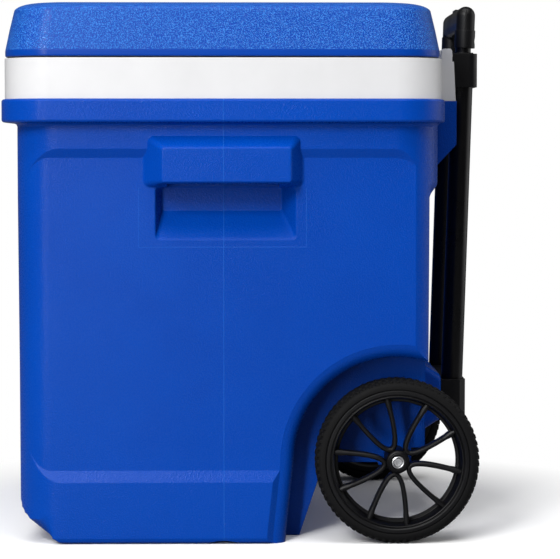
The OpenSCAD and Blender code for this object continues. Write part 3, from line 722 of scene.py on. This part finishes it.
def makeLid():
    piece = lidForm(0)
    combine(piece, lidForm(lid["wall"]), "DIFFERENCE")
    x, half, front, top = lid["hinge"]
    slot = block("slot", (x - half, x + half), (front, 220), (480, top))
    combine(piece, mirrored(slot), "DIFFERENCE")
    combine(piece, slot, "DIFFERENCE")
    complete(piece, "lid_shell", "lid", ["lid_top"], "lidBlue")


makeLid()
print("lid made")

wheel = {"axle": (154.4, 83.5), "x": (206.5, 252), "petals": 5, "first": -99,
         "tip": 13.4, "spread": 7.7, "half": 2.5, "reach": 19.7, "deep": 232, "face": 248}
# closed outlines of (across, radius)
rimProfile = [(250.9, 73), (251.9, 72.2), (252, 71), (252, 69), (251.3, 68), (250.5, 67.5), (251.2, 67),
              (251.5, 66.4), (251.2, 65.6), (250, 65.1), (236.4, 63.4), (235.3, 62.8), (235, 62),
              (235, 60.6), (234.4, 60), (229.6, 60), (229, 60.6), (229, 64), (227.6, 65.2), (208, 66.6),
              (206.5, 67.6), (206.5, 72), (207.5, 73)]
hubProfile = [(206.5, 4.1), (206.5, 11), (207.5, 12), (247, 12), (249, 11.4), (250, 10.4), (250.4, 9.4),
              (251.6, 9), (252, 8.4), (252, 7.4), (251.5, 6.9), (250.8, 6.7), (250.8, 4.1)]
tyreProfile = [(250.6, 73.02), (251.4, 73.6), (251.7, 75), (251.4, 77.3), (250.4, 79.4), (248.7, 81),
               (246, 82), (242, 82.3), (216.5, 82.3), (212.5, 82), (209.8, 81), (208.1, 79.4),
               (207.1, 77.3), (206.8, 75), (207.1, 73.6), (207.9, 73.02)]


def spun(name, profile, steps=96):
    # turns a closed outline of (across, radius) about the axle
    y, z = wheel["axle"]
    activate()
    bpy.ops.mesh.primitive_circle_add(vertices=len(profile), radius=1, fill_type="NOTHING")
    piece = bpy.context.object
    piece.name = piece.data.name = name
    bpy.ops.object.mode_set(mode="EDIT")
    edit = bmesh.from_edit_mesh(piece.data)
    edit.verts.ensure_lookup_table()
    for vert, (x, r) in zip(edit.verts, profile):
        vert.co = Vector((x, y, z + r)) * mm
    bmesh.update_edit_mesh(piece.data)
    bpy.ops.mesh.select_all(action="SELECT")
    bpy.ops.mesh.spin(steps=steps, angle=2 * math.pi, center=(0, y * mm, z * mm), axis=(1, 0, 0))
    bpy.ops.mesh.select_all(action="SELECT")
    bpy.ops.mesh.remove_doubles(threshold=0.00001)
    bpy.ops.mesh.normals_make_consistent(inside=False)
    bpy.ops.object.mode_set(mode="OBJECT")
    return piece


def petal(turn):
    # one looped spoke: a parabola with its tip at the hub, its outer face rising to a soft ridge
    d = wheel
    y, z = d["axle"]
    cos, sin = math.cos(turn), math.sin(turn)
    face, deep = d["face"], d["deep"]
    section = ((deep, -0.8), (face - 3.4, -1), (face - 1.3, -0.86), (face - 0.2, -0.4), (face, 0),
               (face - 0.2, 0.4), (face - 1.3, 0.86), (face - 3.4, 1), (deep, 0.8))
    rings = []
    count = 36
    for step in range(-count, count + 1):
        f = step / count
        s = d["reach"] * f * (0.35 + 0.65 * abs(f))
        slope = 2 * s / d["spread"]
        size = math.hypot(slope, 1)
        half = d["half"] * (1 if abs(f) < 0.93 else 1.25 if abs(f) < 0.985 else 0.8)
        ring = []
        for x, w in section:
            u = d["tip"] + s * s / d["spread"] - half * w / size
            v = s + half * w * slope / size
            ring.append((x, y + u * cos - v * sin, z + u * sin + v * cos))
        rings.append(ring)
    return loft("petal", rings)


def makeWheel():
    d = wheel
    right = spun("rim", rimProfile, 128)
    combine(right, spun("hub", hubProfile, 64), "UNION")
    for count in range(d["petals"]):
        combine(right, petal(math.radians(d["first"] + 360 * count / d["petals"])), "UNION")
    left = mirrored(right)
    complete(right, "right_wheel_rim", "right_wheel", ["right_wheel"], "black")
    complete(left, "left_wheel_rim", "left_wheel", ["left_wheel"], "black")


tread = {"count": 72, "low": 81.6, "top": 83.45, "size": (11.5, 4.2), "rows": ((222, 0), (236.5, 0.5)),
         "lug": (5.4, 3.6), "edges": ((247.4, 0), (211.1, 0.5))}


def makeTyre():
    d = tread
    y, z = wheel["axle"]
    right = spun("tyre", tyreProfile, 144)
    pitch = 2 * math.pi / d["count"]
    low, high = z + d["low"], z + d["top"]
    blocks = []
    for rows, (long, wide), height in ((d["rows"], d["size"], (low, high)),
                                       (d["edges"], d["lug"], (low - 2.6, high - 1.2))):
        for x, shift in rows:
            piece = block("tread", (x - long / 2, x + long / 2), (y - wide / 2, y + wide / 2), height)
            blocks.append((piece, shift))
    for piece, shift in blocks:
        soften(piece, 0.5, 1)
        activate(piece)
        bpy.ops.object.mode_set(mode="EDIT")
        bpy.ops.mesh.select_all(action="SELECT")
        bpy.ops.transform.rotate(value=shift * pitch, orient_axis="X", center_override=(0, y * mm, z * mm))
        bpy.ops.mesh.spin(steps=d["count"] - 1, angle=2 * math.pi - pitch, dupli=True,
                          center=(0, y * mm, z * mm), axis=(1, 0, 0))
        bpy.ops.object.mode_set(mode="OBJECT")
    activate(right, *[piece for piece, shift in blocks])
    bpy.ops.object.join()
    right = bpy.context.object
    left = mirrored(right)
    complete(right, "right_tyre_tread", "right_wheel", ["right_tyre"], "rubber")
    complete(left, "left_tyre_tread", "left_wheel", ["left_tyre"], "rubber")


capProfile = [(252.4, 4.1), (252.4, 6.5), (253.1, 6.4), (253.6, 6), (253.8, 5.4), (253.6, 4.8),
              (253, 4.4), (252.7, 4.1)]


def makeCaps():
    right = spun("cap", capProfile, 64)
    left = mirrored(right)
    complete(right, "right_axle_cap", "body", ["right_axle_nut"], "steel")
    complete(left, "left_axle_cap", "body", ["left_axle_nut"], "steel")


makeWheel()
makeTyre()
makeCaps()
print("wheels made")

room = {"wall": 0.13, "colour": srgb(253, 253, 253), "bounce": srgb(150, 150, 152), "fade": (0.3, 0.5)}


def makeRoom():
    d = room
    activate()
    bpy.ops.mesh.primitive_plane_add(size=12, location=(0, 0, 0))
    floor = bpy.context.object
    floor.name = "floor"
    # the floor throws back less light than it shows, so that undersides stay deep, and it fades to
    # white far out
    constants = {"Roughness": 0.9, "Specular IOR Level": 0.0, "Emission Strength": 1.0}
    material, shader, place = startMaterial("studio floor", constants)
    seen = place.node("ShaderNodeLightPath", out="Is Camera Ray")
    reach = place.node("ShaderNodeVectorMath", {"operation": "LENGTH"}, {0: place}, out="Value")
    far = remap(reach, *d["fade"]) * seen
    nothing = (0, 0, 0, 1)
    near = mixColours(place, seen, d["bounce"], d["colour"])
    feed(shader, "Base Color", mixColours(place, far, near, nothing))
    feed(shader, "Emission Color", mixColours(place, far, nothing, (1, 1, 1, 1)))
    floor.data.materials.append(material)
    world = bpy.data.worlds.new("studio")
    bpy.context.scene.world = world
    world.use_nodes = True
    back = world.node_tree.nodes["Background"]
    back.inputs["Color"].default_value = (1, 1, 1, 1)
    seen = Socket(world.node_tree, None).node("ShaderNodeLightPath", out="Is Camera Ray")
    feed(back, "Strength", seen * (1 - d["wall"]) + d["wall"])


lamps = {
    "key": {"at": (2.3, -0.95, 1.7), "aim": (0.2, -0.05, 0.32), "size": (0.8, 0.8), "watts": 48},
    "edge": {"at": (2.5, -0.8, 0.75), "aim": (0.2, -0.15, 0.35), "size": (0.16, 1.5), "watts": 24},
    "soft": {"at": (1.6, -2.4, 1.8), "aim": (0.2, -0.1, 0.3), "size": (1.5, 1.5), "watts": 14},
    "top": {"at": (0.9, 0.0, 2.7), "aim": (0.4, 0, 0), "size": (2.2, 2.2), "watts": 64},
    "back": {"at": (-0.25, 2.2, 0.8), "aim": (0.15, 0.2, 0.3), "size": (1.9, 1.9), "watts": 16},
}


def aimed(name, data, d):
    # puts a lamp or a camera in the scene, turned to its aim
    thing = bpy.data.objects.new(name, data)
    bpy.context.scene.collection.objects.link(thing)
    thing.location = d["at"]
    thing.rotation_euler = (Vector(d["aim"]) - Vector(d["at"])).to_track_quat("-Z", "Y").to_euler()
    return thing


def makeLamps():
    for name, d in lamps.items():
        light = bpy.data.lights.new(name, "AREA")
        light.shape = "RECTANGLE"
        light.size, light.size_y = d["size"]
        light.energy = d["watts"]
        aimed(name, light, d)


shot = {"at": (2.615, -0.0052, 0.399), "aim": (0.265, 0.0348, 0.2695), "lens": 151.3, "sensor": 36}


def makeCamera():
    data = bpy.data.cameras.new("camera")
    data.lens = shot["lens"]
    data.sensor_width = shot["sensor"]
    bpy.context.scene.camera = aimed("camera", data, shot)


makeRoom()
makeLamps()
makeCamera()
bpy.context.scene.view_settings.view_transform = "Standard"
print("room, lights and camera made")
